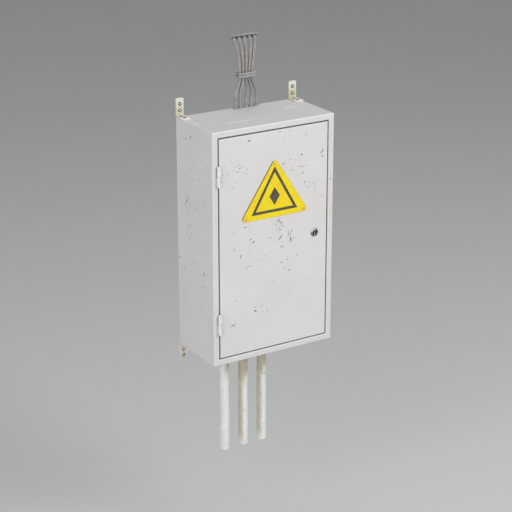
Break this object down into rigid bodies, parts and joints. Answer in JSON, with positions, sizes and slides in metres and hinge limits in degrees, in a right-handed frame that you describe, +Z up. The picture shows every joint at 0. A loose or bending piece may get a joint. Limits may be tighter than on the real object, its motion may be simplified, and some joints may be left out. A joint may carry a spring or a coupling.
{
  "type": "wall-hung electrical control panel",
  "caption": "Steel wall cabinet with a hinged, locking door, conduits below, supply cables above on a wall clip, and rail-mounted switchgear inside.",
  "frame": {"origin": "middle of the case's back, on the wall plane", "axes": "+X to the right seen from the front, +Y into the wall, +Z up"},
  "size_m": [0.35, 0.1821, 1.0895],
  "materials": {
    "case_paint": "semi-gloss powder coat, chipped",
    "door_paint": "semi-gloss powder coat, chipped",
    "hinge_paint": "painted steel",
    "bracket_paint": "aged cream paint",
    "zinc": "zinc plated",
    "galvanised": "galvanised sheet",
    "bronze_washer": "plain",
    "sign_enamel": "yellow enamel",
    "lock_chrome": "bright",
    "lock_dark": "blackened zinc",
    "seal_foam": "closed-cell foam",
    "conduit_plastic": "white, stained",
    "cable_sheath": "grey sheath",
    "grommet_rubber": "matt",
    "clip_metal": "grey paint",
    "duct_plastic": "grey",
    "gear_plastic": "light grey",
    "handle_red": "red",
    "lever_plastic": "black",
    "contactor_plastic": "dark grey",
    "terminal_plastic": "grey",
    "brass": "tinned brass",
    "post_plastic": "moulded insulator"
  },
  "bodies": {
    "panel": {"case": "case_paint", "door_seal": "seal_foam", "hinge_frame_halves": "hinge_paint", "hinge_washers": "bronze_washer", "bracket_top_left": "bracket_paint", "bracket_top_right": "bracket_paint", "bracket_bottom_left": "bracket_paint", "bracket_bottom_right": "bracket_paint", "bracket_screws": "zinc", "bracket_nuts": "zinc", "conduit_1": "conduit_plastic", "conduit_2": "conduit_plastic", "conduit_3": "conduit_plastic", "conduit_adaptors": "conduit_plastic", "conduit_locknuts": "conduit_plastic", "cable_grommets": "grommet_rubber", "supply_cable_1": "cable_sheath", "supply_cable_2": "cable_sheath", "supply_cable_3": "cable_sheath", "supply_cable_4": "cable_sheath", "supply_cable_5": "cable_sheath", "clip_base": "clip_metal", "clip_cover": "clip_metal", "wall_hood": "clip_metal", "mounting_plate": "galvanised", "plate_nuts": "zinc", "rail_upper": "zinc", "rail_middle": "zinc", "rail_lower": "zinc", "rail_screws": "zinc", "side_ducts": "duct_plastic", "cross_ducts": "duct_plastic", "duct_covers": "duct_plastic", "main_switch": "gear_plastic", "breaker_1": "gear_plastic", "breaker_2": "gear_plastic", "breaker_3": "gear_plastic", "breaker_4": "gear_plastic", "contactor_1": "contactor_plastic", "contactor_2": "contactor_plastic", "terminals": "terminal_plastic", "end_stops": "terminal_plastic", "earth_bar": "brass", "earth_posts": "post_plastic"},
    "door": {"door": "door_paint", "hinge_door_halves": "hinge_paint", "lock_body": "lock_chrome", "lock_nut": "zinc", "sign_plate": "sign_enamel", "sign_rivets": "hinge_paint"},
    "lock": {"lock_core": "lock_dark", "lock_tongue": "zinc", "tongue_screw": "zinc"},
    "handle": {"main_handle": "handle_red"},
    "lever_1": {"breaker_lever_1": "lever_plastic"},
    "lever_2": {"breaker_lever_2": "lever_plastic"},
    "lever_3": {"breaker_lever_3": "lever_plastic"},
    "lever_4": {"breaker_lever_4": "lever_plastic"},
    "slider_1": {"contactor_slider_1": "gear_plastic"},
    "slider_2": {"contactor_slider_2": "gear_plastic"}
  },
  "joints": [
    {"name": "door_hinge", "type": "hinge", "parent": "panel", "child": "door", "pos_m": [-0.16, -0.1782, 0], "axis": [0, 0, -1], "range_deg": [0, 180]},
    {"name": "lock_turn", "type": "hinge", "parent": "door", "child": "lock", "pos_m": [0.119, -0.158, 0], "axis": [0, -1, 0], "range_deg": [0, 90]},
    {"name": "main_handle_turn", "type": "hinge", "parent": "panel", "child": "handle", "pos_m": [0.006, -0.0735, 0.165], "axis": [1, 0, 0], "range_deg": [0, 76]},
    {"name": "breaker_lever_1_turn", "type": "hinge", "parent": "panel", "child": "lever_1", "pos_m": [-0.0932, -0.0735, 0.165], "axis": [1, 0, 0], "range_deg": [0, 76]},
    {"name": "breaker_lever_2_turn", "type": "hinge", "parent": "panel", "child": "lever_2", "pos_m": [-0.0752, -0.0735, 0.165], "axis": [1, 0, 0], "range_deg": [0, 76]},
    {"name": "breaker_lever_3_turn", "type": "hinge", "parent": "panel", "child": "lever_3", "pos_m": [-0.0572, -0.0735, 0.165], "axis": [1, 0, 0], "range_deg": [0, 76]},
    {"name": "breaker_lever_4_turn", "type": "hinge", "parent": "panel", "child": "lever_4", "pos_m": [-0.0392, -0.0735, 0.165], "axis": [1, 0, 0], "range_deg": [0, 76]},
    {"name": "contactor_slider_1_push", "type": "slide", "parent": "panel", "child": "slider_1", "axis": [0, 1, 0], "range_m": [0, 0.003], "stiffness_N_per_m": 200},
    {"name": "contactor_slider_2_push", "type": "slide", "parent": "panel", "child": "slider_2", "axis": [0, 1, 0], "range_m": [0, 0.003], "stiffness_N_per_m": 200}
  ]
}
